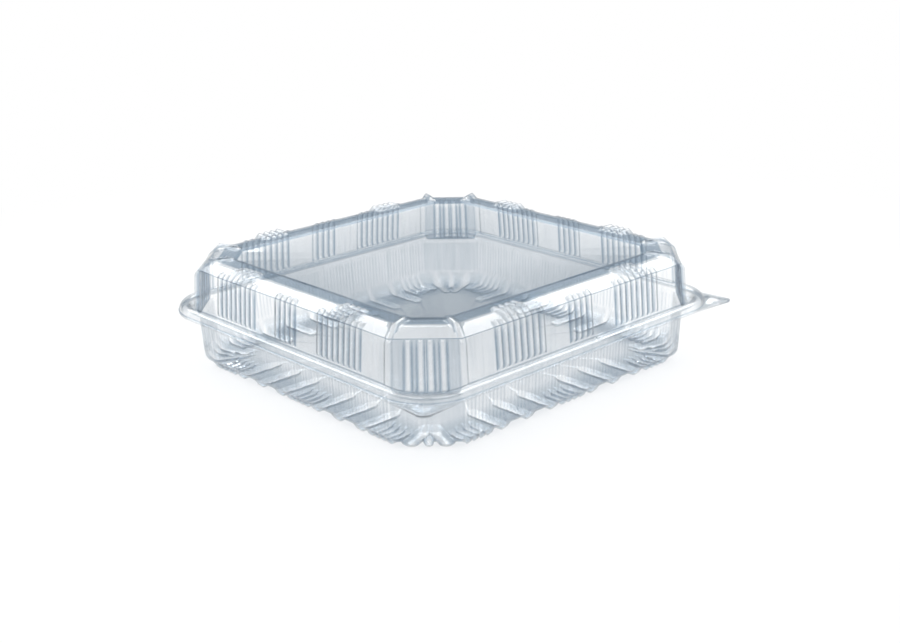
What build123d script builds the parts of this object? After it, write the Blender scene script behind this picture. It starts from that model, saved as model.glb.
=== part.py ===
from build123d import *
from math import atan2, cos, hypot, radians, sin, sqrt
import os

# Clear hinged bakery pack, formed from one plastic sheet: a ribbed tray and a domed lid that
# share a flanged rim and fold along a hinge line at the back.
# X runs along the hinge, Y from the opening edge to the hinge, and Z up from the table.
# All sizes are in millimetres. An inset is measured square to a wall, in from the lid's wall foot.

# Sheet, and the plan of the lid's wall foot
sheet = 0.4
plan_length = 211.6
plan_width = 208.6
corner_leg = 25.1

# Flanges: where they meet, and their outline
seat_height = 29.7
seat_gap = 0.2
flange_reach = 5.7
hinge_reach = 7.95
hinge_clearance = 0.15
back_corner_radius = 32.0
tab_reach = 2.6
tab_run = 34.0
tab_radius = 3.0

# Half-round bead on the lid's flange, close by the wall's foot and with rounder corners than it
bead_radius = 3.2
bead_offset = 1.6
bead_lift = 1.0
bead_corner = 24.0

# Lid: wall, shoulder in two facets, rim and sunk top panel
wall_rise = 25.7
wall_inset = 2.1
shoulder_run = 8.9
shoulder_rise = 4.0
rim_width = 9.7
panel_depth = 1.2
panel_slope = 0.9

# Ribs of the lid's side walls: on each side two long groups, whose middle ribs run on over the
# shoulder as lugs, and a short group between them
rib_pitch = 4.17
rib_width = 3.7
rib_crest = 1.5
rib_height = 1.4
rib_lift = 4.9
group_offset = 42.5
long_group = 8
short_group = 4
lug_count = 4
lug_height = 1.8
lug_run = 6.4

# Ridges along the corner hips, and ribs on the corner facets
hip_width = 4.4
hip_crest = 1.6
hip_height = 2.0
hip_setback = 0.8
facet_rib_lift = 1.2
facet_rib_places = (-8.4, -2.3, 2.3, 8.4)
facet_rib_width = 3.4
facet_rib_crest = 1.4
facet_rib_height = 0.9

# Tray: steep wall with a round heel at its foot in two facets, locking bead inside the lid's
# bead, and floor
mouth_inset = 1.0
foot_inset = 2.1
heel_radius = 7.0
bead_clearance = 0.6
floor_lift = 2.2

# Bars pressed down around the tray's floor, which are the feet that it stands on
bar_draft = 0.9
bar_lead = 2.8
bar_width = 5.4
bar_length = 21.5
bar_start = 15.0
bar_pitch = 17.3
short_bar_width = 3.4
short_bar_length = 10.0
short_bar_pitch = 4.5
cluster_size = 4
corner_cluster_gap = 10.7
lobe_width = 7.0
lobe_length = 17.0
lobe_place = 11.0
lobe_turn = 22.0
toe_width = 4.6
toe_length = 6.0

# Three-sided snap buttons in the two front tabs
button_height = 1.3
button_base = 14.2
button_spread = 6.4
button_tip = 7.4
button_slope = 1.0
button_clearance = 0.3

# How far a rib roots in the surface that it stands on, and a cut runs past a face that it opens
root = 0.15
overrun = 1.0

half_x = plan_length / 2
half_y = plan_width / 2
lid_flange_low = seat_height + seat_gap / 2
tray_flange_high = seat_height - seat_gap / 2
wall_foot = lid_flange_low + sheet
crease = wall_foot + wall_rise
rim = crease + shoulder_rise
wall_slope = atan2(wall_inset, wall_rise)
bead_middle = wall_foot + bead_lift
base_inset = foot_inset + heel_radius
heel_top = floor_lift + heel_radius
heel_inset = base_inset - heel_radius / sqrt(2)
heel_height = heel_top - heel_radius / sqrt(2)

# Turn about Z, distance and half length of each side wall, and turn of each corner facet
sides = ((0, half_x, half_y), (90, half_y, half_x), (180, half_x, half_y), (270, half_y, half_x))
corners = (45, 135, 225, 315)
tab_corners = (225, 315)
hip_turn = 22.5


def octagon(inset, height):
    """Plan of the pack at one level: a rectangle with its four corners cut off, set in by inset."""
    x = half_x - inset
    y = half_y - inset
    leg = corner_leg - inset * (2 - sqrt(2))
    half_outline = [(x, y - leg), (x - leg, y), (leg - x, y), (-x, y - leg)]
    outline = half_outline + [(-px, -py) for px, py in half_outline]
    return Pos(0, 0, height) * make_face(Polyline(*outline, close=True))


def frustum(low, low_inset, high, high_inset):
    """Octagonal solid with plane sloping sides."""
    return loft([octagon(low_inset, low), octagon(high_inset, high)], ruled=True)


def lid_path(lift, rim_run, stretch=1.0):
    """Points (out, up) from a lift above the wall's foot, over the shoulder and along the rim."""
    radius = (shoulder_run**2 + shoulder_rise**2) / (2 * shoulder_rise)
    half_turn = atan2(shoulder_rise, shoulder_run)
    rim_edge = -wall_inset - shoulder_run
    shoulder = (rim_edge + radius * sin(half_turn), rim - radius * (1 - cos(half_turn)))
    start = (-wall_inset * lift / wall_rise, wall_foot + lift)
    points = [start, (-wall_inset, crease), shoulder, (rim_edge, rim), (rim_edge - rim_run, rim)]
    return [(out * stretch, up) for out, up in points]


def lid_outline(half, skin):
    """Section across the lid. Its inner skin is the outer one moved in and down by the sheet."""
    side = skin * (1 - sin(wall_slope)) / cos(wall_slope)
    start = lid_flange_low - wall_foot - (overrun if skin else 0)
    right = [(half + out - side, up - skin) for out, up in lid_path(start + skin, 0)[:-1]]
    left = [(-out, up) for out, up in reversed(right)]
    return make_face(Polyline(*right, *left, close=True))


def dome(skin):
    """Lid body: one section on every side and corner facet, so that the hips are mitres."""
    half_diagonal = (half_x + half_y - corner_leg) / sqrt(2)
    body = None
    for turn, half in ((0, half_x), (90, half_y), (45, half_diagonal), (135, half_diagonal)):
        prism = Rot(0, 0, turn) * extrude(Plane.XZ * lid_outline(half, skin), plan_length, both=True)
        body = prism if body is None else body & prism
    return body


def bead_ring(radius, low):
    """Half-round ridge along the flange, with its corners rounded in plan."""
    middle = bead_middle - low
    outline = Curve() + [
        Polyline((-radius, middle), (-radius, 0), (radius, 0), (radius, middle)),
        ThreePointArc((radius, middle), (0, middle + radius), (-radius, middle)),
    ]
    length = plan_length + 2 * bead_offset
    width = plan_width + 2 * bead_offset
    route = Pos(0, 0, low) * RectangleRounded(length, width, bead_corner).wire()
    section = Plane(origin=(0, -width / 2, low), x_dir=(0, 1, 0), z_dir=(1, 0, 0))
    return sweep(section * make_face(outline.edges()), path=route)


def flange(low):
    """Flat flange: round at the two hinge corners, drawn out to pointed tabs at the front corners."""
    side = half_x + flange_reach
    front = -half_y - flange_reach
    back = half_y + hinge_reach - hinge_clearance
    tip = (side + tab_reach, front - tab_reach)
    arc_start = (side - back_corner_radius, back)
    arc_end = (side, back - back_corner_radius)
    side_end = (side, front + tab_run)
    front_end = (side - tab_run, front)
    right = Curve() + [
        Line((0, back), arc_start),
        RadiusArc(arc_start, arc_end, back_corner_radius),
        Line(arc_end, side_end),
        TangentArc(side_end, tip, tangent=(0, -1)),
        TangentArc(front_end, tip, tangent=(1, 0)),
        Line(front_end, (0, front)),
    ]
    plate = make_face((right + mirror(right, Plane.YZ)).edges())
    tips = plate.vertices().filter_by(lambda corner: corner.Y < front - tab_reach / 2)
    return Pos(0, 0, low) * extrude(fillet(tips, tab_radius), sheet)


def side_frame(turn, half, across):
    """Frame on a side wall: X out of the wall, Y along it, Z up."""
    out = Vector(1, 0, 0).rotate(Axis.Z, turn)
    along = Vector(0, 1, 0).rotate(Axis.Z, turn)
    return Plane(origin=out * half + along * across, x_dir=out, z_dir=(0, 0, 1))


def corner_frame(turn, across):
    """Frame on a corner facet, as side_frame."""
    out = Vector(1, 0, 0).rotate(Axis.Z, turn)
    along = Vector(0, 1, 0).rotate(Axis.Z, turn)
    middle_x = half_x - corner_leg / 2
    middle_y = half_y - corner_leg / 2
    middle = Vector(middle_x if out.X > 0 else -middle_x, middle_y if out.Y > 0 else -middle_y, 0)
    return Plane(origin=middle + along * across, x_dir=out, z_dir=(0, 0, 1))


def strut(base, crest, base_width, crest_width):
    """Tapered rib between its footprint and its crest, both given as points (out, up)."""
    feet = [(out, side * base_width / 2, up) for out, up in base for side in (-1, 1)]
    tops = [(out, side * crest_width / 2, up) for out, up in crest for side in (-1, 1)]
    return ConvexPolyhedron(feet + tops)


def raised(path, height):
    """A line of points (out, up) moved square off its surface by a height."""
    normals = []
    for (out_0, up_0), (out_1, up_1) in zip(path, path[1:]):
        length = hypot(out_1 - out_0, up_1 - up_0)
        normals.append(((up_1 - up_0) / length, (out_0 - out_1) / length))
    moved = []
    for (out, up), before, after in zip(path, normals[:1] + normals, normals + normals[-1:]):
        share = height / (1 + before[0] * after[0] + before[1] * after[1])
        moved.append((out + share * (before[0] + after[0]), up + share * (before[1] + after[1])))
    return moved


def long_rib(skin, lift, height, rim_run, width, crest_width, stretch=1.0):
    """Hollow rib up the wall and over the rim. Skin is 0 for its outside, the sheet for its inside."""
    base = raised(lid_path(lift + skin, rim_run - skin, stretch), -skin - root)
    crest = raised(lid_path(lift + height, rim_run - height / 2, stretch), height - skin)
    return strut(base, crest, width - 2 * skin, crest_width - skin)


def plain_rib(skin):
    """Hollow rib up a side wall, which fades out over the shoulder."""
    base = raised(lid_path(rib_lift + skin, 0)[:-1], -skin - root)
    crest = raised(lid_path(rib_lift + rib_height, 0)[:-2], rib_height - skin)
    return strut(base, crest, rib_width - 2 * skin, rib_crest - skin)


def facet_rib(skin):
    """Hollow rib up a corner facet, with its top at the crease."""
    ends = (facet_rib_lift + skin, wall_rise - skin)
    crest_ends = (facet_rib_lift + facet_rib_height, wall_rise - facet_rib_height)
    base = raised([lid_path(lift, 0)[0] for lift in ends], -skin - root)
    crest = raised([lid_path(lift, 0)[0] for lift in crest_ends], facet_rib_height - skin)
    return strut(base, crest, facet_rib_width - 2 * skin, facet_rib_crest - skin)


def lid_ribs(skin):
    """All the ribs and hip ridges of the lid, for one skin of the sheet."""
    plain = plain_rib(skin)
    lug = long_rib(skin, rib_lift, lug_height, lug_run, rib_width, rib_crest)
    hip_run = rim_width - hip_setback
    hip_stretch = 1 / cos(radians(hip_turn))
    hip = long_rib(skin, rib_lift, hip_height, hip_run, hip_width, hip_crest, hip_stretch)
    facet = facet_rib(skin)
    groups = (
        (-group_offset, long_group, lug_count),
        (0, short_group, 0),
        (group_offset, long_group, lug_count),
    )
    ribs = []
    for turn, half, _ in sides:
        for centre, count, lugs in groups:
            for place in range(count):
                step = place - (count - 1) / 2
                form = lug if abs(step) < lugs / 2 else plain
                ribs.append(side_frame(turn, half, centre + step * rib_pitch) * form)
    for turn in corners:
        ribs += [corner_frame(turn, place) * facet for place in facet_rib_places]
        for side in (-1, 1):
            hip_frame = corner_frame(turn, side * corner_leg / sqrt(2)).rotated((0, 0, side * hip_turn))
            ribs.append(hip_frame * hip)
    return ribs


def panel(skin):
    """Sunk top panel: it is cut from the dome's outer form, and stands down in its hollow."""
    inset = wall_inset + shoulder_run + rim_width - skin
    low = rim - panel_depth - skin
    high = rim + panel_depth - skin
    return frustum(low, inset + panel_slope, high, inset - panel_slope)


def button(low, shrink, height):
    """Low three-sided stud on a tab, with its sides set in by shrink."""
    plan = ((button_base, -button_spread), (button_base, button_spread), (button_base + button_tip, 0))
    inner_radius = button_spread * button_tip / (button_spread + hypot(button_spread, button_tip))
    middle = button_base + inner_radius

    def ring(inset, up):
        share = 1 - inset / inner_radius
        return [(middle + (out - middle) * share, across * share, up) for out, across in plan]

    return ConvexPolyhedron(ring(shrink, low) + ring(shrink + button_slope, low + height))


def tub(skin, top):
    """Tapered tub with a heel in two facets. Its inner form is the outer one moved in and up."""
    mouth = mouth_inset - (foot_inset - mouth_inset) * (top - seat_height) / (seat_height - heel_top)
    profile = ((floor_lift, base_inset), (heel_height, heel_inset), (heel_top, foot_inset))
    levels = [(up + skin, inset + skin) for up, inset in profile] + [(top, mouth + skin)]
    parts = [frustum(*low, *high) for low, high in zip(levels, levels[1:])]
    return parts[0].fuse(*parts[1:])


def tray_bar(skin, length, width):
    """Hollow bar that runs in from the heel, pressed down from the floor to the table."""
    lift = skin + root
    base = [(-heel_inset - lift, heel_height + lift), (-base_inset - length + skin, floor_lift + lift)]
    crest = [(bar_lead - base_inset - skin, skin), (-base_inset - length + floor_lift + skin, skin)]
    return strut(base, crest, width - 2 * skin, width - 2 * bar_draft - skin)


def tray_bars(skin):
    """All the bars of the tray's floor, for one skin of the sheet."""
    long_bar = tray_bar(skin, bar_length, bar_width)
    short_bar = tray_bar(skin, short_bar_length, short_bar_width)
    lobe = tray_bar(skin, lobe_length, lobe_width)
    toe = tray_bar(skin, toe_length, toe_width)
    foot_leg = corner_leg - base_inset * (2 - sqrt(2))
    cluster_steps = [(place - (cluster_size - 1) / 2) * short_bar_pitch for place in range(cluster_size)]
    cluster_reach = cluster_steps[-1] + (short_bar_width + bar_width) / 2
    bars = []
    for turn, half, half_run in sides:
        corner_cluster = half_run - base_inset - foot_leg - corner_cluster_gap
        bar_count = 1 + int((corner_cluster - cluster_reach - bar_start) / bar_pitch)
        for side in (-1, 1):
            places = [side * (bar_start + step * bar_pitch) for step in range(bar_count)]
            bars += [side_frame(turn, half, place) * long_bar for place in places]
        for centre in (-corner_cluster, 0, corner_cluster):
            bars += [side_frame(turn, half, centre + step) * short_bar for step in cluster_steps]
    for turn in corners:
        for side in (-1, 1):
            bars.append(corner_frame(turn, side * lobe_place).rotated((0, 0, side * lobe_turn)) * lobe)
        bars.append(corner_frame(turn, 0) * toe)
    return bars


def make_lid():
    """Lid: the ribbed dome on its beaded flange, less the same form one sheet further in."""
    bead = bead_ring(bead_radius, lid_flange_low)
    tunnel = bead_ring(bead_radius - sheet, lid_flange_low - overrun)
    outer = dome(0).fuse(*lid_ribs(0)) - panel(0) + flange(lid_flange_low) + bead
    inner = dome(sheet).fuse(*lid_ribs(sheet)) - panel(sheet) + tunnel
    for turn in tab_corners:
        outer += corner_frame(turn, 0) * button(lid_flange_low, 0, sheet + button_height)
        inner += corner_frame(turn, 0) * button(lid_flange_low, sheet, button_height)
    return outer - inner


def make_tray():
    """Tray: a tapered tub on its bars, with a hollow locking bead on its flange."""
    flange_low = tray_flange_high - sheet
    bead_size = bead_radius - sheet - bead_clearance
    bead = bead_ring(bead_size, flange_low)
    tunnel = bead_ring(bead_size - sheet, flange_low - overrun)
    outer = tub(0, tray_flange_high).fuse(*tray_bars(0)) + flange(flange_low) + bead
    inner = tub(sheet, tray_flange_high + overrun).fuse(*tray_bars(sheet)) + tunnel
    stud_inset = sheet + button_clearance
    stud_height = seat_gap + button_height - button_clearance
    for turn in tab_corners:
        outer += corner_frame(turn, 0) * button(flange_low, stud_inset, sheet + stud_height)
        inner += corner_frame(turn, 0) * button(flange_low, stud_inset + sheet, stud_height)
    return outer - inner


os.makedirs("parts", exist_ok=True)
export_step(make_lid(), "parts/lid.step")
export_step(make_tray(), "parts/tray.step")
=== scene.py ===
from collections import namedtuple
from math import asin, atan2, cos, hypot, pi, radians, sin, sqrt, tan

import bpy
import numpy as np
from mathutils import Matrix, Vector


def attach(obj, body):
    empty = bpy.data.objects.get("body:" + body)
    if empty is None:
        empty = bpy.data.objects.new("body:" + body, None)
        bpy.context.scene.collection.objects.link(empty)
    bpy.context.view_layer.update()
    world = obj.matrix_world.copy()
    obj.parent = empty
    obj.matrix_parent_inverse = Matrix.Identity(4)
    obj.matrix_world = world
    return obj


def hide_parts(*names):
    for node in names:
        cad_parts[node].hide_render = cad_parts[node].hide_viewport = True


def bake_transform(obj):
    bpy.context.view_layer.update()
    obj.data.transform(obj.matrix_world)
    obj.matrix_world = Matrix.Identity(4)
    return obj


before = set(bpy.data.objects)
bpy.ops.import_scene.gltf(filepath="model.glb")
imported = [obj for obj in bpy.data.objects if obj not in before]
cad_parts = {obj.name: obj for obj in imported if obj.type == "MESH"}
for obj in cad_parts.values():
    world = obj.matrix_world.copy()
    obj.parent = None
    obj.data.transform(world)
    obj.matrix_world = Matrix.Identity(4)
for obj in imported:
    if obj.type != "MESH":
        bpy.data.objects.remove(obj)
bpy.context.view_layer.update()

# Tray: the lower half of one formed sheet of clear plastic. Its steep wall is finely fluted, a hollow
# bead on its flange locks into the lid's, and it stands on round-bottomed bars pressed down around
# its floor. Sizes are in millimetres, and insets run in from the lid's wall foot.
MM = 0.001
SHEET = 0.4
SHARP_TURN = radians(62)
HALF_X = 105.8
HALF_Y = 104.3
CORNER_LEG = 25.1
HIP_SLOPE = tan(radians(22.5))

FLANGE_SIDE = 111.5
FLANGE_FRONT = -110.0
FLANGE_BACK = 112.1
BACK_CORNER_RADIUS = 32.0
BACK_CORNER_STEPS = 25
TAB_RUN = 34.0
TAB_REACH = 2.6
TAB_RADIUS = 3.0
TAB_SWEEP_SHARE = 0.88
TAB_SWEEP_STEPS = 9
TAB_NOSE_STEPS = 13
EDGE_STEPS = 40
TRAY_FLANGE_TOP = 29.6
TRAY_FLANGE_SHARES = (1.0, 0.75, 0.5, 0.25, 0.0)

TRAY_STUD = 1.0
BUTTON_PLACE = 14.2
BUTTON_SPREAD = 6.4
BUTTON_LENGTH = 7.4
BUTTON_EDGE = 1.3

BEAD_OFFSET = 1.6
BEAD_CORNER = 24.0
BEAD_MIDDLE = 31.2
BEAD_FILLET = 0.35
TRAY_BEAD = 2.2
TRAY_BEAD_TURNS = (0, 40, 75, 105, 140, 180)
LEDGE_GAP = 0.05
LEDGE_FILLET = 0.2
LEDGE_SHARES = (0.3, 0.85)

MOUTH_INSET = 1.0
FOOT_INSET = 2.1
HEEL_RADIUS = 7.0
HEEL_TURNS = (16, 31, 45, 58, 72, 90)
FLOOR_TOP = 2.6
FLOOR_ROWS = (2, 4, 6.2, 7.6, 8.8, 9.8, 11.5, 14.5, 17.4, 19, 20.3, 21.4, 22.6)
FLOOR_SHARES = (0.7, 0.35)
BASE_INSET = FOOT_INSET + HEEL_RADIUS
HEEL_TOP = FLOOR_TOP - SHEET + HEEL_RADIUS

# The flutes fade out under the flange and at the heel: each wall row has its height and their share.
TRAY_COLUMN = 0.8
FLUTE_COLUMNS = 3
FLUTE_DEPTH = 0.16
FLUTE_RIDGE = 0.5
FLUTE_ROWS = ((29.2, 0), (28.2, 0), (27.2, 1), (18.0, 1), (10.4, 1), (HEEL_TOP, 0.3))

BAR_DEPTH = 2.2
BAR_LEAD = 2.8
BAR_RISE = 1.9
BAR_ROUND = 0.42
BAR_WIDTH = 5.4
BAR_LENGTH = 21.5
BAR_PLACES = (15.0, 32.3, 49.6)
SHORT_BARS = 4
SHORT_BAR_WIDTH = 3.4
SHORT_BAR_LENGTH = 10.0
SHORT_BAR_PITCH = 4.5
CORNER_CLUSTER_GAP = 10.7
LOBE_PLACE = 11.0
LOBE_TURN = radians(22)
LOBE_WIDTH = 7.0
LOBE_LENGTH = 17.0
TOE_WIDTH = 4.6
TOE_LENGTH = 6.0

# Painted shade: how much deeper the clear sheet is drawn in its grooves, folds and edges.
GROOVE_SHADE = 0.12
CORNER_SHADE = 0.1
FLOOR_SHADE = 0.33
BAR_EDGE_SHADE = 0.9
FLOOR_FADE_INSETS = (BASE_INSET - HEEL_RADIUS, BASE_INSET, BASE_INSET + 8, BASE_INSET + 22)
FLOOR_FADE_SHARES = (0.2, 1, 1, 0)

# The sheet's pale tint, and the deep one that its slant, its random marks and its painted shade draw it
# towards.
PALE_SHEET = (0.992, 0.995, 0.997, 1)
DEEP_SHEET = (0.33, 0.44, 0.54, 1)
SLANT_TONE = 0.11
SLANT_POWER = 2.2
CLOUD_SCALE = 60.0
CLOUD_TONE = 0.03
STREAK_SCALES = (520.0, 520.0, 5.0)
STREAK_TONE = 0.22
UPRIGHT_POWER = 8.0
RIPPLE_SCALE = 34.0
RIPPLE_STRENGTH = 0.05
RIPPLE_DISTANCE = 0.002
MIRROR_LEAST = 0.04
MIRROR_GAIN = 0.9
MIRROR_POWER = 5.0
GLOSS_ROUGHNESS = 0.04
GLOSS_SPREAD = 0.06

Columns = namedtuple("Columns", "middle out along place half held facet")


def wall_columns(marks, held):
    """Columns of the sheet's grid, wall by wall round the plan, each with the line it slides along.

    marks gives the places along a wall of a half length. Places under held keep their distance from
    the wall's middle at every inset, and the others close up towards the corner hip."""
    columns = []
    for turn in range(0, 360, 45):
        out = np.array((cos(radians(turn)), sin(radians(turn))))
        along = np.array((-out[1], out[0]))
        facet = turn % 90 > 0
        if facet:
            half = CORNER_LEG / sqrt(2)
            middle = np.sign(out) * (HALF_X - CORNER_LEG / 2, HALF_Y - CORNER_LEG / 2)
        else:
            half = (HALF_X if turn % 180 else HALF_Y) - CORNER_LEG
            middle = out * (HALF_X, HALF_Y)
        for place in marks(half, facet):
            columns.append((middle, out, along, place, half, 0.0 if facet else held, facet))
    return Columns(*(np.array(values) for values in zip(*columns)))


def plan_points(columns, inset):
    """Plan of every column at an inset, its place along its wall, and its distance to the hip."""
    place, half, held = columns.place, columns.half, columns.held
    run = half - inset * HIP_SLOPE
    spare = np.maximum(np.abs(place) - held, 0)
    closed_up = spare * (run - held) / (half - held)
    across = np.sign(place) * (np.minimum(np.abs(place), held) + closed_up)
    inset = np.broadcast_to(inset, place.shape)
    plan = columns.middle + columns.along * across[:, None] - columns.out * inset[:, None]
    return plan, across, run - np.abs(across)


def arc(centre, radius, angles):
    """Points of an arc in plan."""
    return [(centre[0] + radius * cos(angle), centre[1] + radius * sin(angle)) for angle in angles]


def flange_outline():
    """Outline of both flanges, from the hinge round the right side to the front, then the left."""
    back_centre = (FLANGE_SIDE - BACK_CORNER_RADIUS, FLANGE_BACK - BACK_CORNER_RADIUS)
    back = arc(back_centre, BACK_CORNER_RADIUS, np.linspace(pi / 2, 0, BACK_CORNER_STEPS))
    reach = TAB_RUN + TAB_REACH
    sweep_radius = hypot(reach, TAB_REACH) ** 2 / (2 * TAB_REACH)
    sweep = asin(reach / sweep_radius)
    sweep_angles = np.linspace(0, sweep * TAB_SWEEP_SHARE, TAB_SWEEP_STEPS)
    swept = [(sweep_radius * (1 - cos(angle)), sweep_radius * sin(angle)) for angle in sweep_angles]
    side = [(FLANGE_SIDE + bulge, FLANGE_FRONT + TAB_RUN - run) for bulge, run in swept]
    front = [(FLANGE_SIDE - TAB_RUN + run, FLANGE_FRONT - bulge) for bulge, run in swept]
    set_back = TAB_RADIUS / sin(pi / 4 - sweep) / sqrt(2)
    nose_centre = (FLANGE_SIDE + TAB_REACH - set_back, FLANGE_FRONT - TAB_REACH + set_back)
    nose = arc(nose_centre, TAB_RADIUS, np.linspace(sweep, -pi / 2 - sweep, TAB_NOSE_STEPS))
    right = [(0, FLANGE_BACK)] + back + side + nose + front[::-1] + [(0, FLANGE_FRONT)]
    left = [(-x, y) for x, y in right[-2:0:-1]]
    return np.array(right + left)


def flange_edge(plan):
    """Where lines from the centre through plan points cross the flange's outline."""
    corners = flange_outline()
    sides = zip(corners, np.roll(corners, -1, 0))
    fine = np.concatenate([np.linspace(a, b, EDGE_STEPS, endpoint=False) for a, b in sides])
    angles = np.arctan2(fine[:, 1], fine[:, 0])
    order = np.argsort(angles)
    radius = np.hypot(fine[:, 0], fine[:, 1])
    heading = np.arctan2(plan[:, 1], plan[:, 0])
    reach = np.interp(heading, angles[order], radius[order], period=2 * pi)
    return np.stack((np.cos(heading) * reach, np.sin(heading) * reach), axis=1)


def tab_button(plan):
    """Height share of the low three-sided snap buttons in the two front tabs."""
    share = np.zeros(len(plan))
    for side in (-1, 1):
        out = np.array((side, -1)) / sqrt(2)
        middle = np.array((side * (HALF_X - CORNER_LEG / 2), -HALF_Y + CORNER_LEG / 2))
        forward = (plan - middle) @ out - BUTTON_PLACE
        across = np.abs((plan - middle) @ np.array((-out[1], out[0])))
        slope = BUTTON_SPREAD / BUTTON_LENGTH
        flank = (BUTTON_SPREAD - across - forward * slope) / hypot(1, slope)
        inside = np.clip(np.minimum(forward, flank) / BUTTON_EDGE, 0, 1)
        share = np.maximum(share, inside * inside * (3 - 2 * inside))
    return share


def bead_line(columns, reach):
    """Plan of the beads at a reach outside their middle: a rectangle with round corners."""
    plan = plan_points(columns, 0)[0]
    core = np.array((HALF_X, HALF_Y)) + BEAD_OFFSET - BEAD_CORNER
    centre = np.clip(plan, -core, core)
    heading = (plan - centre) / np.linalg.norm(plan - centre, axis=1, keepdims=True)
    return centre + heading * (BEAD_CORNER + reach)


class SheetRows:
    """Rows of points round one half of the pack, edge row first, with painted shade at each point."""

    def __init__(self):
        self.points = []
        self.painted_shades = []

    def put(self, plan, height, painted_shade=0.0):
        self.points.append(np.column_stack((plan, np.broadcast_to(height, len(plan)))))
        self.painted_shades.append(np.broadcast_to(painted_shade, len(plan)))


def placed(name, data):
    """New object in the scene, with a mesh, a lamp or a camera as its data."""
    thing = bpy.data.objects.new(name, data)
    bpy.context.scene.collection.objects.link(thing)
    return thing


def sheet_object(name, rows):
    """Closed thin shell from rows of points, with the last row closed at its middle."""
    count = len(rows.points[0])
    last_middle = rows.points[-1].mean(axis=0, keepdims=True)
    points = np.concatenate(rows.points + [last_middle]) * MM
    here = np.arange(count)
    there = np.roll(here, -1)
    faces = []
    for row in range(len(rows.points) - 1):
        low, high = row * count, (row + 1) * count
        faces += np.stack((low + here, low + there, high + there, high + here), axis=1).tolist()
    last = (len(rows.points) - 1) * count
    faces += np.stack((last + here, last + there, np.full(count, len(points) - 1)), axis=1).tolist()
    mesh = bpy.data.meshes.new(name)
    mesh.from_pydata(points.tolist(), [], faces)
    # Painted shade at each point, which the film's material draws as a deeper tint.
    painted_shades = np.append(np.concatenate(rows.painted_shades), rows.painted_shades[-1].mean())
    painted_shade = mesh.attributes.new("painted_shade", "FLOAT", "POINT")
    painted_shade.data.foreach_set("value", painted_shades.astype(np.float32))
    mesh.shade_smooth()
    mesh.set_sharp_from_angle(angle=SHARP_TURN)
    piece = placed(name, mesh)
    wall = piece.modifiers.new("wall", "SOLIDIFY")
    wall.thickness = SHEET * MM
    wall.offset = -1
    return piece


class Shade:
    """An output of a node tree. Sums with it add Math nodes, and add makes any other node."""

    def __init__(self, tree, output=None):
        self.tree = tree
        self.output = output

    def add(self, kind, settings=None, inputs=None, output=0):
        node = self.tree.nodes.new(kind)
        for name, value in (settings or {}).items():
            setattr(node, name, value)
        for name, value in (inputs or {}).items():
            if isinstance(value, Shade):
                self.tree.links.new(value.output, node.inputs[name])
            else:
                node.inputs[name].default_value = value
        return Shade(self.tree, node.outputs[output] if node.outputs else None)

    def math(self, operation, first, second):
        return self.add("ShaderNodeMath", {"operation": operation}, {0: first, 1: second})

    def __add__(self, other):
        return self.math("ADD", self, other)

    def __radd__(self, other):
        return self.math("ADD", other, self)

    def __sub__(self, other):
        return self.math("SUBTRACT", self, other)

    def __rsub__(self, other):
        return self.math("SUBTRACT", other, self)

    def __mul__(self, other):
        return self.math("MULTIPLY", self, other)

    def __rmul__(self, other):
        return self.math("MULTIPLY", other, self)

    def __pow__(self, other):
        return self.math("POWER", self, other)


def blank_material(name):
    """New material with no nodes yet, and the start of its node tree."""
    material = bpy.data.materials.new(name)
    material.use_nodes = True
    material.node_tree.nodes.clear()
    return material, Shade(material.node_tree)


def clear_film(name, body, slant):
    """Clear sheet with a cold grey-blue tone, deeper aslant and where its painted shade says."""
    film, start = blank_material(name)
    place = start.add("ShaderNodeTexCoord", output="Object")
    ripple = start.add(
        "ShaderNodeTexNoise", None, {"Vector": place, "Scale": RIPPLE_SCALE, "Detail": 2.0}
    )
    cloud = start.add(
        "ShaderNodeTexNoise", None, {"Vector": place, "Scale": CLOUD_SCALE, "Detail": 3.0}
    )
    pulled = start.add(
        "ShaderNodeVectorMath", {"operation": "MULTIPLY"}, {0: place, 1: STREAK_SCALES}
    )
    streak = start.add("ShaderNodeTexNoise", None, {"Vector": pulled, "Scale": 1.0, "Detail": 1.0})
    normal = start.add("ShaderNodeNewGeometry", output="True Normal")
    level = start.add("ShaderNodeSeparateXYZ", None, {0: normal}, output="Z")
    upright = 1 - level * level
    waved = start.add(
        "ShaderNodeBump",
        None,
        {"Strength": RIPPLE_STRENGTH, "Distance": RIPPLE_DISTANCE, "Height": ripple},
    )
    facing = start.add("ShaderNodeLayerWeight", None, {"Blend": 0.5}, output="Facing")
    # Painted shade read from the mesh: grooves, creases, seams and edges drawn deeper.
    painted_shade = start.add("ShaderNodeAttribute", {"attribute_name": "painted_shade"}, output="Fac")
    streaks = STREAK_TONE * (streak - 0.5) * upright ** UPRIGHT_POWER
    marks = CLOUD_TONE * (cloud - 0.5) + streaks
    depth = body + marks + slant * facing ** SLANT_POWER + painted_shade
    mirror = MIRROR_LEAST + MIRROR_GAIN * facing ** MIRROR_POWER
    roughness = GLOSS_ROUGHNESS + GLOSS_SPREAD * cloud
    pale = start.add("ShaderNodeBsdfTransparent", None, {"Color": PALE_SHEET})
    deep = start.add("ShaderNodeBsdfTransparent", None, {"Color": DEEP_SHEET})
    through = start.add("ShaderNodeMixShader", None, {0: depth, 1: pale, 2: deep})
    gloss = start.add("ShaderNodeBsdfGlossy", None, {"Roughness": roughness, "Normal": waved})
    sheet_look = start.add("ShaderNodeMixShader", None, {0: mirror, 1: through, 2: gloss})
    start.add("ShaderNodeOutputMaterial", None, {"Surface": sheet_look})
    return film


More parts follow.
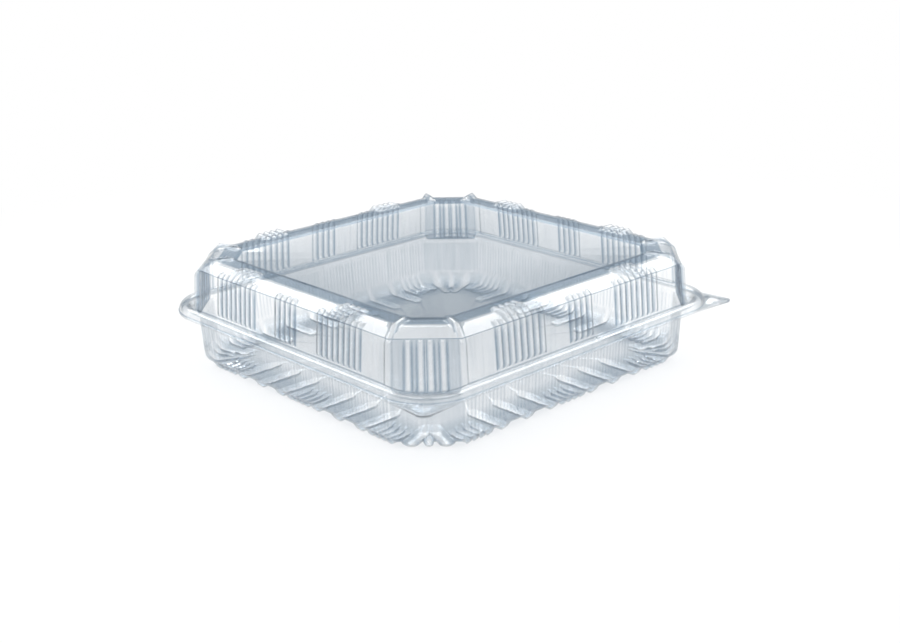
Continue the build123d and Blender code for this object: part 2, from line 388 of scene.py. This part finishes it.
def foot_bars(turn):
    """Middle of a wall or corner, and its bars: place along it, swing, width and length."""
    if turn % 90:
        sides = np.sign((cos(radians(turn)), sin(radians(turn))))
        middle = sides * (HALF_X - CORNER_LEG / 2, HALF_Y - CORNER_LEG / 2)
        lobes = [(side * LOBE_PLACE, side * LOBE_TURN, LOBE_WIDTH, LOBE_LENGTH) for side in (-1, 1)]
        return middle, lobes + [(0, 0, TOE_WIDTH, TOE_LENGTH)]
    middle = np.array((HALF_X * cos(radians(turn)), HALF_Y * sin(radians(turn))))
    half_run = HALF_X if turn % 180 else HALF_Y
    foot_leg = CORNER_LEG - BASE_INSET * (2 - sqrt(2))
    cluster = half_run - BASE_INSET - foot_leg - CORNER_CLUSTER_GAP
    bars = [(side * place, 0, BAR_WIDTH, BAR_LENGTH) for side in (-1, 1) for place in BAR_PLACES]
    steps = [SHORT_BAR_PITCH * (step - (SHORT_BARS - 1) / 2) for step in range(SHORT_BARS)]
    places = [centre + step for centre in (-cluster, 0, cluster) for step in steps]
    return middle, bars + [(place, 0, SHORT_BAR_WIDTH, SHORT_BAR_LENGTH) for place in places]


def floor_bars(plan):
    """How far the floor is pressed down at plan points: 1 along the bars, 0 between them."""
    pressed = np.zeros(len(plan))
    for turn in range(0, 360, 45):
        middle, bars = foot_bars(turn)
        along = np.array((-sin(radians(turn)), cos(radians(turn))))
        for place, swing, width, length in bars:
            out = np.array((cos(radians(turn) + swing), sin(radians(turn) + swing)))
            offset = plan - middle - along * place
            inward = -offset @ out - BASE_INSET
            side = offset @ np.array((-out[1], out[0])) / (width / 2)
            end = np.clip(1 + (inward - length) / (width / 2), 0, None)
            bar = np.clip(1 - side**2 - end**2, 0, 1) ** BAR_ROUND
            pressed = np.maximum(pressed, bar * (inward > -HEEL_RADIUS))
    return pressed


def tray_marks(half, facet):
    """Even columns, a whole number of flutes to each wall."""
    count = FLUTE_COLUMNS * round(2 * half / (TRAY_COLUMN * FLUTE_COLUMNS))
    return np.linspace(-half, half, count, endpoint=False)


def tray_rows():
    """Rows of the tray's upper face: flange, locking bead, fluted wall, round heel, barred floor."""
    columns = wall_columns(tray_marks, 0.0)
    rows = SheetRows()
    foot = bead_line(columns, TRAY_BEAD + BEAD_FILLET)
    edge = flange_edge(foot)
    for share in TRAY_FLANGE_SHARES:
        plan = foot + (edge - foot) * share
        rows.put(plan, TRAY_FLANGE_TOP + TRAY_STUD * tab_button(plan))
    rows.put(bead_line(columns, TRAY_BEAD), TRAY_FLANGE_TOP + BEAD_FILLET)
    for turn in np.radians(TRAY_BEAD_TURNS):
        rows.put(bead_line(columns, TRAY_BEAD * cos(turn)), BEAD_MIDDLE + TRAY_BEAD * sin(turn))
    ledge = bead_line(columns, -TRAY_BEAD - LEDGE_GAP)
    mouth = plan_points(columns, MOUTH_INSET + SHEET)[0]
    rows.put(ledge, TRAY_FLANGE_TOP + LEDGE_FILLET)
    for share in LEDGE_SHARES:
        rows.put(ledge + (mouth - ledge) * share, TRAY_FLANGE_TOP)

    phase = np.arange(len(columns.place)) % FLUTE_COLUMNS
    flute = FLUTE_DEPTH * np.where(phase, -FLUTE_RIDGE, 1.0) * ~columns.facet
    # Painted shade in each flute's groove and on the corner facets.
    wall_painted_shade = np.where(columns.facet, CORNER_SHADE, GROOVE_SHADE * (phase == 0))
    draft = (FOOT_INSET - MOUTH_INSET) / (TRAY_FLANGE_TOP - HEEL_TOP)
    for height, share in FLUTE_ROWS:
        inset = FOOT_INSET + SHEET - draft * (height - HEEL_TOP)
        plan = plan_points(columns, inset)[0] + columns.out * (flute * share)[:, None]
        rows.put(plan, height, wall_painted_shade * share)

    bend = HEEL_RADIUS - SHEET
    insets = [BASE_INSET - bend * cos(turn) for turn in np.radians(HEEL_TURNS)]
    insets += [BASE_INSET + inward for inward in FLOOR_ROWS]
    for inset in insets:
        plan = plan_points(columns, inset)[0]
        height = HEEL_TOP - sqrt(max(0.0, bend**2 - max(0.0, BASE_INSET - inset) ** 2))
        lead = max(0.0, BASE_INSET - BAR_LEAD - inset) * BAR_RISE
        bottom = min(height, FLOOR_TOP - BAR_DEPTH + lead)
        pressed = floor_bars(plan)
        # Painted shade on the floor between the bars, darkest just round them and clear on them, fading
        # out inwards.
        fade = np.interp(inset, FLOOR_FADE_INSETS, FLOOR_FADE_SHARES)
        painted_shade = fade * (1 - pressed) * (FLOOR_SHADE + BAR_EDGE_SHADE * pressed)
        rows.put(plan, height + (bottom - height) * pressed, painted_shade)
    floor_edge = rows.points[-1][:, :2]
    for share in FLOOR_SHARES:
        rows.put(floor_edge * share, FLOOR_TOP)
    return rows


tray = sheet_object("tray_sheet", tray_rows())
tray.data.materials.append(clear_film("clear_tray_film", 0.0, SLANT_TONE))
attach(tray, "tray")
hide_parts("tray")


# Lid: the upper half of the same sheet. Its wall is stiffened by groups of half-round ribs, whose
# middle ones run on over the shoulder as lugs, by ridges along the corner hips and by ribs on the
# corner facets. A bead at its foot grips the tray's bead, and a flat panel is sunk inside its rim.
LID_FLANGE_TOP = 30.2
LID_FLANGE_SHARES = (1.0, 0.8, 0.6, 0.4, 0.2, 0.0)
LID_STUD = 1.3
LID_BEAD = 3.2
LID_BEAD_TURNS = (0, 16, 31, 46, 61, 76, 90)
LID_BEAD_START = 0.45
BEAD_INSIDE_SHARES = (0.16, 0.32, 0.48, 0.64, 0.82, 1.0)
SEAM_REACH = 0.08
SEAM_RISE = 0.12
CORNER_LEDGE_EASE = 0.5

WALL_INSET = 2.1
WALL_FOOT = LID_FLANGE_TOP
WALL_LOW_SHARES = (0.4, 1.0)
WALL_RUNS = (4.92, 5.1, 5.5, 6.1, 6.9, 21.5, 23.0, 24.2, 25.1)
CREASE = 55.9
CREASE_EASE = 4.0
CREASE_STEP = 0.3
RIM = 59.9
RIM_WIDTH = 9.7
RIM_RUNS = (0.9, 1.7, 2.4, 3.0, 3.4, 3.8, 6.3, 7.6, 8.3, 8.75, 9.1)
SHOULDER_RUN = 8.9
SHOULDER_ROWS = 12
PANEL_TOP = 58.7
PANEL_FILLET = 0.12
PANEL_FOOT = 0.81
PANEL_EDGE = 1.17
PANEL_SHARES = (1.0, 0.5)

SHOULDER_RISE = RIM - CREASE
SHOULDER_RADIUS = (SHOULDER_RUN**2 + SHOULDER_RISE**2) / (2 * SHOULDER_RISE)
SHOULDER_TURN = 2 * atan2(SHOULDER_RISE, SHOULDER_RUN)
LEAN = atan2(WALL_INSET, CREASE - WALL_FOOT)
WALL_RUN = hypot(WALL_INSET, CREASE - WALL_FOOT)
SHOULDER_END = WALL_RUN + SHOULDER_RADIUS * SHOULDER_TURN
RIM_END = SHOULDER_END + RIM_WIDTH

RIB_PITCH = 4.17
RIB_COLUMNS = 6
RIB_WIDTH = 4.0
RIB_HEIGHT = 1.4
RIB_LIFT = 4.9
RIB_LEAD = 0.2
RIB_TOP = WALL_RUN + 0.38 * (SHOULDER_END - WALL_RUN)
GROUP_OFFSET = 42.5
GROUP_EDGE = 0.5
GAP_COLUMNS = 5
LONG_GROUP = 8
SHORT_GROUP = 4
LUGS = 4
RIB_GROUPS = ((-GROUP_OFFSET, LONG_GROUP, LUGS), (0.0, SHORT_GROUP, 0), (GROUP_OFFSET, LONG_GROUP, LUGS))
LUG_HEIGHT = 1.64
LUG_RUN = 3.6
LUG_BEVEL = 4.2
LUG_LEAD = 4.0
LUG_GROWTH = 6.0

HIP_WIDTH = 4.6
HIP_HEIGHT = 2.0
HIP_BEVEL = 7.0
HIP_LIFT = 1.6
HIP_RUN = 8.9
HIP_COLUMNS = (0.45, 0.95, 1.5, 2.05, 2.6, 3.4)
FACET_RIBS = (-8.4, -2.3, 2.3, 8.4)
FACET_RIB_WIDTH = 3.6
FACET_RIB_HEIGHT = 0.95
FACET_RIB_LIFT = 1.2
FACET_RIB_COLUMNS = (-1.85, -1.35, -0.6, 0.6, 1.35, 1.85)
FACET_COLUMNS = (5.35, 11.5, 13.0)

# Painted shade on the lid: grooves beside ribs, lugs and hip ridges, corner facets, the bead's seam,
# crease, rim and the panel's brink.
GROOVE_HALF = 0.085
GROOVE_REACH = 1.01
RIB_GROOVE_SHADE = 0.62
LUG_GROOVE_SHADE = 0.14
HIP_FLANK_SHADE = 0.5
FACET_SHADE = 0.18
SEAM_SHADE = 0.45
CREASE_SHADE = 0.8
RIM_SHADE = 0.42
BRINK_SHADE = 0.55
PANEL_TONE = 0.03


def lid_section(run):
    """Inset, height and the outward and upward parts of the relief, at a run up from the wall's foot."""
    bend = np.clip((run - WALL_RUN + CREASE_EASE) / (SHOULDER_END - WALL_RUN + CREASE_EASE), 0, 1)
    tilt = LEAN + (pi / 2 - LEAN) * bend
    if np.all(run <= WALL_RUN):
        return run * sin(LEAN), WALL_FOOT + run * cos(LEAN), np.cos(tilt), np.sin(tilt)
    if run <= SHOULDER_END:
        turn = (SHOULDER_END - run) / SHOULDER_RADIUS
        inset = WALL_INSET + SHOULDER_RUN - SHOULDER_RADIUS * sin(turn)
        return inset, RIM - SHOULDER_RADIUS * (1 - cos(turn)), np.cos(tilt), np.sin(tilt)
    return WALL_INSET + SHOULDER_RUN + run - SHOULDER_END, RIM, 0.0, 1.0


def round_rib(side, run, start, stop, width, height):
    """Height of a half-round rib with round ends, at a distance to its side and a run along it."""
    end = np.maximum(0.0, 1 - np.minimum(run - start, stop - run) / (width / 2))
    return height * np.sqrt(np.clip(1 - (side / (width / 2)) ** 2 - end**2, 0, 1))


def knuckle(run, height, cut):
    """Height of a rib that runs on straight up from the wall, and turns in over the rim by a bevel.

    cut is how far the bevel starts from the corner that it takes off."""
    inset, up, out_share, up_share = lid_section(run)
    front = height / cos(LEAN)
    corner = front - (RIM + height - WALL_FOOT) * tan(LEAN) + RIM + height
    face = (front - (up - WALL_FOOT) * tan(LEAN) + inset) / (out_share + up_share * tan(LEAN))
    bevel = (corner - cut - up + inset) / (out_share + up_share)
    return np.minimum(np.minimum(face, bevel), (RIM + height - up) / up_share)


def lid_ribs(run, grown):
    """Every rib's place, start, stop, width, height at a run, and whether it is on a corner facet."""
    ribs = []
    for place in FACET_RIBS:
        stop = WALL_RUN - CREASE_STEP
        ribs.append((place, FACET_RIB_LIFT, stop, FACET_RIB_WIDTH, FACET_RIB_HEIGHT, True))
    lug_height = knuckle(run, RIB_HEIGHT + (LUG_HEIGHT - RIB_HEIGHT) * grown, LUG_BEVEL)
    for centre, count, lugs in RIB_GROUPS:
        for step in np.arange(count) - (count - 1) / 2:
            lug = abs(step) < lugs / 2
            stop = SHOULDER_END + LUG_RUN if lug else RIB_TOP
            height = lug_height if lug else RIB_HEIGHT
            ribs.append((centre + step * RIB_PITCH, RIB_LIFT, stop, RIB_WIDTH, height, False))
    return ribs


def lid_relief(columns, across, hip, run):
    """How far ribs, lugs and hip ridges stand out of the lid, and the painted shade of their flanks."""
    ridge_height = knuckle(run, HIP_HEIGHT, HIP_BEVEL)
    relief = round_rib(hip, run, HIP_LIFT, SHOULDER_END + HIP_RUN, HIP_WIDTH, ridge_height)
    painted_shade = np.where(relief > 0, HIP_FLANK_SHADE * (hip / (HIP_WIDTH / 2)) ** 4, 0)
    grown = np.clip((run - WALL_RUN + LUG_LEAD) / LUG_GROWTH, 0, 1)
    groove_painted_shade = RIB_GROOVE_SHADE + (LUG_GROOVE_SHADE - RIB_GROOVE_SHADE) * grown
    for place, start, stop, width, height, on_facet in lid_ribs(run, grown):
        here = columns.facet == on_facet
        side = np.where(columns.facet, columns.place, across) - place
        rib = round_rib(side, run, start, stop, width, height) * here
        share = np.abs(side) / (width / 2 + GROOVE_HALF)
        beside = here & (share <= GROOVE_REACH) & (run > start) & (run < stop)
        painted_shade = np.where(beside, np.maximum(painted_shade, groove_painted_shade * share**3), painted_shade)
        relief = np.maximum(relief, rib)
    return relief, painted_shade


def lid_marks(half, facet):
    """Columns that meet each rib at the same places, and close up at the hips."""
    corner = half - np.array(HIP_COLUMNS)
    if facet:
        ribs = [place + step for place in FACET_RIBS for step in FACET_RIB_COLUMNS]
        plain = np.array(FACET_COLUMNS)
        return np.sort(np.concatenate((ribs, plain, -plain, corner, -corner, [0.0, -half])))
    fine = RIB_PITCH / RIB_COLUMNS
    long_half = LONG_GROUP // 2 * RIB_COLUMNS
    short_half = SHORT_GROUP // 2 * RIB_COLUMNS
    long_group = GROUP_OFFSET + np.arange(-long_half, long_half + 1) * fine
    short_group = np.arange(-short_half, short_half + 1) * fine
    gap = np.linspace(short_group[-1] + GROUP_EDGE, long_group[0] - GROUP_EDGE, GAP_COLUMNS)
    wall = np.linspace(long_group[-1] + GROUP_EDGE, corner[-1], GAP_COLUMNS)[:-1]
    right = np.concatenate((gap, long_group, wall, corner))
    return np.sort(np.concatenate((-right, short_group, right, [-half])))


def lid_rows():
    """Rows of the lid's upper face: flange, bead, ribbed wall and shoulder, rim, sunk panel."""
    columns = wall_columns(lid_marks, GROUP_OFFSET + LONG_GROUP / 2 * RIB_PITCH)
    toward_hip = np.sign(columns.place)[:, None] * columns.along
    rows = SheetRows()
    foot = bead_line(columns, LID_BEAD + BEAD_FILLET)
    edge = flange_edge(foot)
    for share in LID_FLANGE_SHARES:
        plan = foot + (edge - foot) * share
        rows.put(plan, LID_FLANGE_TOP + LID_STUD * tab_button(plan))
    # Painted shade along the seam where the bead rises from the flange.
    rows.put(bead_line(columns, LID_BEAD + SEAM_REACH), LID_FLANGE_TOP + SEAM_RISE, SEAM_SHADE)
    rows.put(bead_line(columns, LID_BEAD), LID_FLANGE_TOP + LID_BEAD_START)
    for turn in np.radians(LID_BEAD_TURNS):
        rows.put(bead_line(columns, LID_BEAD * cos(turn)), BEAD_MIDDLE + LID_BEAD * sin(turn))

    # Inside the bead's crest the sheet bends down to where it meets the wall: close by on the sides,
    # and on a low ledge at the corner facets, which the bead swings clear of. The wall leans in, so
    # the place where they meet settles in three steps.
    crest = bead_line(columns, 0)
    start = np.full(len(columns.place), WALL_FOOT)
    for _ in range(3):
        wall_start = plan_points(columns, (start - WALL_FOOT) * tan(LEAN))[0]
        gap = np.linalg.norm(crest - wall_start, axis=1)
        reach = np.minimum(gap, LID_BEAD)
        drop = np.clip((gap - LID_BEAD) / CORNER_LEDGE_EASE, 0, 1) * (BEAD_MIDDLE - WALL_FOOT)
        start = BEAD_MIDDLE + np.sqrt(LID_BEAD**2 - reach**2) - drop
    bend = LID_BEAD * np.arcsin(reach / LID_BEAD)
    path = bend + drop + gap - reach
    for share in BEAD_INSIDE_SHARES:
        turn = np.minimum(path * share, bend) / LID_BEAD
        down = np.clip(path * share - bend, 0, drop)
        flat = np.clip(path * share - bend - drop, 0, None)
        plan = crest + (wall_start - crest) * ((LID_BEAD * np.sin(turn) + flat) / gap)[:, None]
        # Painted shade on the last row, where the bead meets the wall.
        rows.put(plan, BEAD_MIDDLE + LID_BEAD * np.cos(turn) - down, SEAM_SHADE * (share == 1.0))

    low_run = (start - WALL_FOOT) / cos(LEAN)
    low = [low_run + (RIB_LIFT - RIB_LEAD - low_run) * share for share in WALL_LOW_SHARES]
    shoulder = np.linspace(WALL_RUN + CREASE_STEP, SHOULDER_END, SHOULDER_ROWS)
    wall = (*low, *WALL_RUNS, WALL_RUN - CREASE_STEP, WALL_RUN)
    rim = (*(SHOULDER_END + np.array(RIM_RUNS)), RIM_END)
    for run in (*wall, *shoulder, *rim):
        inset, height, out_share, up_share = lid_section(run)
        plan, across, hip = plan_points(columns, inset)
        relief, painted_shade = lid_relief(columns, across, hip, run)
        hip_share = np.clip(1 - hip / (HIP_WIDTH / 2), 0, 1)[:, None] * HIP_SLOPE
        heading = columns.out + toward_hip * hip_share
        heading /= np.linalg.norm(heading, axis=1, keepdims=True)
        # Painted shade: dark lines along the crease and the rim's brink, a deeper rim, and deeper corner
        # facets.
        if np.array_equal(run, WALL_RUN):
            painted_shade = np.maximum(painted_shade, CREASE_SHADE)
        elif np.array_equal(run, RIM_END):
            painted_shade = np.maximum(painted_shade, BRINK_SHADE)
        elif np.all(run > SHOULDER_END):
            painted_shade = np.where(relief > 0, painted_shade, RIM_SHADE)
        elif np.all(run < WALL_RUN):
            painted_shade = np.where(columns.facet & (relief == 0), np.maximum(painted_shade, FACET_SHADE), painted_shade)
        rows.put(plan + heading * (relief * out_share)[:, None], height + relief * up_share, painted_shade)
    brink = WALL_INSET + SHOULDER_RUN + RIM_WIDTH
    # Painted shade at the panel's sunk edge.
    rows.put(plan_points(columns, brink + PANEL_FOOT)[0], PANEL_TOP + PANEL_FILLET, BRINK_SHADE)
    panel_edge = plan_points(columns, brink + PANEL_EDGE)[0]
    for share in PANEL_SHARES:
        rows.put(panel_edge * share, PANEL_TOP, PANEL_TONE)
    return rows


lid = sheet_object("lid_sheet", lid_rows())
lid.data.materials.append(clear_film("clear_lid_film", 0.0, SLANT_TONE))
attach(lid, "lid")
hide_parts("lid")


# Living hinge: the thin scored fold of the same sheet along the back, where the two flanges join.
# On the real pack it bends round the fold line as the lid opens; here it is a fixed half-round fold.
HINGE_HALF = FLANGE_SIDE - BACK_CORNER_RADIUS
HINGE_LOW = TRAY_FLANGE_TOP - SHEET / 2
HINGE_HIGH = LID_FLANGE_TOP - SHEET / 2
HINGE_WALL = 0.22
HINGE_STATIONS = 41
FOLD_STEPS = 13
FOLD_TONE = 0.05
FOLD_SLANT_TONE = 0.2

fold_radius = (HINGE_HIGH - HINGE_LOW) / 2
fold_middle = (HINGE_HIGH + HINGE_LOW) / 2
hinge_points, hinge_faces = [], []
fold_angles = np.linspace(-pi / 2, pi / 2, FOLD_STEPS)
for x in np.linspace(-HINGE_HALF, HINGE_HALF, HINGE_STATIONS):
    for radius in (fold_radius, fold_radius + HINGE_WALL):
        hinge_points += [(x, y, z) for y, z in arc((FLANGE_BACK, fold_middle), radius, fold_angles)]
ring = 2 * FOLD_STEPS
loop = [*range(FOLD_STEPS), *range(ring - 1, FOLD_STEPS - 1, -1)]
for station in range(HINGE_STATIONS - 1):
    low, high = station * ring, (station + 1) * ring
    for first, second in zip(loop, loop[1:] + loop[:1]):
        hinge_faces.append((low + first, high + first, high + second, low + second))
hinge_faces.append(loop)
hinge_faces.append([(HINGE_STATIONS - 1) * ring + corner for corner in reversed(loop)])
hinge_mesh = bpy.data.meshes.new("hinge_fold")
hinge_mesh.from_pydata((np.array(hinge_points) * MM).tolist(), [], hinge_faces)
hinge_mesh.shade_smooth()
hinge_mesh.set_sharp_from_angle(angle=SHARP_TURN)
hinge = placed("hinge_fold", hinge_mesh)
hinge.data.materials.append(clear_film("clear_hinge_film", FOLD_TONE, FOLD_SLANT_TONE))
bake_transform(hinge)


# Studio: a pale floor that runs out to white, long soft boxes over the four edges of the pack, a dim
# panel on either side, and a ring of cold grey card at table height, which clear plastic needs to
# show its edges. Sizes from here on are in metres.
WHITE = (1, 1, 1, 1)
FLOOR_HALF = 8.0
FLOOR_DROP = 0.0002
FLOOR_PAINT = (0.9, 0.9, 0.9, 1)
FLOOR_NEAR = 0.16
FLOOR_FAR = 0.5
NEAR_WHITE = 0.6
CARD_RADIUS = 1.7
CARD_LOW = 0.02
CARD_HIGH = 1.0
CARD_STEPS = 64
CARD_GREY = (0.3, 0.37, 0.44, 1)
OVERHEAD_BOX = (1.5, 0.62)
FAR_BRIGHTNESS = 3.3
NEAR_BRIGHTNESS = 2.2
SIDE_PANEL = (0.8, 0.9)
PANEL_BRIGHTNESS = 0.8
PACK_FOOT = (0, 0, 0)
PACK_MIDDLE = (0, 0, 0.1)
ROOM_TINT = (0.8, 0.86, 0.92, 1)
ROOM_LIGHT = 0.35


def in_sight(start):
    """1 for rays that bring a surface to the camera, straight, mirrored or through, and 0 for light."""
    camera_ray = start.add("ShaderNodeLightPath", output="Is Camera Ray")
    glossy_ray = start.add("ShaderNodeLightPath", output="Is Glossy Ray")
    return camera_ray + glossy_ray + start.add("ShaderNodeLightPath", output="Is Transmission Ray")


floor_corners = [(x * FLOOR_HALF, y * FLOOR_HALF, 0) for x, y in ((-1, -1), (1, -1), (1, 1), (-1, 1))]
floor_mesh = bpy.data.meshes.new("floor")
floor_mesh.from_pydata(floor_corners, [], [(0, 1, 2, 3)])
floor = placed("floor", floor_mesh)
floor.location.z = -FLOOR_DROP
floor_paint, start = blank_material("pale_floor")
spot = start.add("ShaderNodeTexCoord", output="Object")
reach = start.add("ShaderNodeVectorMath", {"operation": "LENGTH"}, {0: spot}, output="Value")
far = start.add(
    "ShaderNodeMapRange",
    {"interpolation_type": "SMOOTHSTEP"},
    {"Value": reach, "From Min": FLOOR_NEAR, "From Max": FLOOR_FAR},
)
paint = start.add("ShaderNodeBsdfDiffuse", None, {"Color": FLOOR_PAINT})
white = start.add("ShaderNodeEmission", None, {"Color": WHITE, "Strength": 1.0})
whitened = in_sight(start) * (NEAR_WHITE + (1 - NEAR_WHITE) * far)
floor_look = start.add("ShaderNodeMixShader", None, {0: whitened, 1: paint, 2: white})
start.add("ShaderNodeOutputMaterial", None, {"Surface": floor_look})
floor.data.materials.append(floor_paint)

card_ring = arc((0, 0), CARD_RADIUS, np.linspace(0, 2 * pi, CARD_STEPS, endpoint=False))
card_points = [(x, y, z) for z in (CARD_LOW, CARD_HIGH) for x, y in card_ring]
card_faces = []
for step in range(CARD_STEPS):
    after = (step + 1) % CARD_STEPS
    card_faces.append((step, after, CARD_STEPS + after, CARD_STEPS + step))
card_mesh = bpy.data.meshes.new("grey_card")
card_mesh.from_pydata(card_points, [], card_faces)
card = placed("grey_card", card_mesh)
card.visible_camera = False
card.visible_shadow = False
card.visible_diffuse = False
card_paint, start = blank_material("cold_grey_card")
card_paint.cycles.emission_sampling = "NONE"
grey = start.add("ShaderNodeEmission", None, {"Color": CARD_GREY, "Strength": 1.0})
start.add("ShaderNodeOutputMaterial", None, {"Surface": grey})
card.data.materials.append(card_paint)


def soft_box(name, place, aim, across, size, brightness):
    """Flat lamp of an even brightness, facing a point, with its wide side level along across."""
    lamp = bpy.data.lights.new(name, "AREA")
    lamp.shape = "RECTANGLE"
    lamp.size, lamp.size_y = size
    lamp.energy = brightness * pi * size[0] * size[1]
    holder = placed(name, lamp)
    holder.visible_camera = False
    ahead = (Vector(aim) - Vector(place)).normalized()
    upward = (-ahead).cross(Vector(across).normalized()).normalized()
    axes = Matrix((upward.cross(-ahead), upward, -ahead)).transposed()
    holder.matrix_world = Matrix.Translation(place) @ axes.to_4x4()


soft_box("over_right", (0.92, 0.05, 1.0), PACK_FOOT, (0, 1, 0), OVERHEAD_BOX, FAR_BRIGHTNESS)
soft_box("over_back", (0.05, 1.05, 1.0), PACK_FOOT, (1, 0, 0), OVERHEAD_BOX, FAR_BRIGHTNESS)
soft_box("over_left", (-0.92, 0.05, 1.0), PACK_FOOT, (0, 1, 0), OVERHEAD_BOX, NEAR_BRIGHTNESS)
soft_box("over_front", (0.05, -1.05, 1.0), PACK_FOOT, (1, 0, 0), OVERHEAD_BOX, NEAR_BRIGHTNESS)
soft_box("panel_right", (0.86, -1.0, 0.5), PACK_MIDDLE, (1, 0.86, 0), SIDE_PANEL, PANEL_BRIGHTNESS)
soft_box("panel_left", (-0.96, 0.93, 0.5), PACK_MIDDLE, (0.97, 1, 0), SIDE_PANEL, PANEL_BRIGHTNESS)

world = bpy.data.worlds.new("white_studio")
bpy.context.scene.world = world
world.use_nodes = True
world.node_tree.nodes.clear()
start = Shade(world.node_tree)
room = start.add("ShaderNodeBackground", None, {"Color": ROOM_TINT, "Strength": ROOM_LIGHT})
white = start.add("ShaderNodeBackground", None, {"Color": WHITE, "Strength": 1.0})
sky = start.add("ShaderNodeMixShader", None, {0: in_sight(start), 1: room, 2: white})
start.add("ShaderNodeOutputWorld", None, {"Surface": sky})


# Camera: at the photograph's place, a little above the pack and off its front left corner. Its lens,
# place and turn were fitted to the edges of the pack.
LENS = 53.82
SENSOR_WIDTH = 36.0
CLIP_START = 0.01
EYE = (-0.47172, -0.52119, 0.26393)
AZIMUTH = radians(-42.551)
ELEVATION = radians(19.196)
ROLL = radians(-1.357)

camera_data = bpy.data.cameras.new("camera")
camera_data.sensor_width = SENSOR_WIDTH
camera_data.lens = LENS
camera_data.clip_start = CLIP_START
camera = placed("camera", camera_data)
level = Vector((cos(AZIMUTH), sin(AZIMUTH), 0))
back = Vector((sin(AZIMUTH) * cos(ELEVATION), -cos(AZIMUTH) * cos(ELEVATION), sin(ELEVATION)))
upright = back.cross(level)
right = level * cos(ROLL) + upright * sin(ROLL)
up = upright * cos(ROLL) - level * sin(ROLL)
camera.matrix_world = Matrix.Translation(EYE) @ Matrix((right, up, back)).transposed().to_4x4()
bpy.context.scene.camera = camera

bpy.context.scene.view_settings.view_transform = "Standard"
bpy.context.scene.cycles.transparent_max_bounces = 96
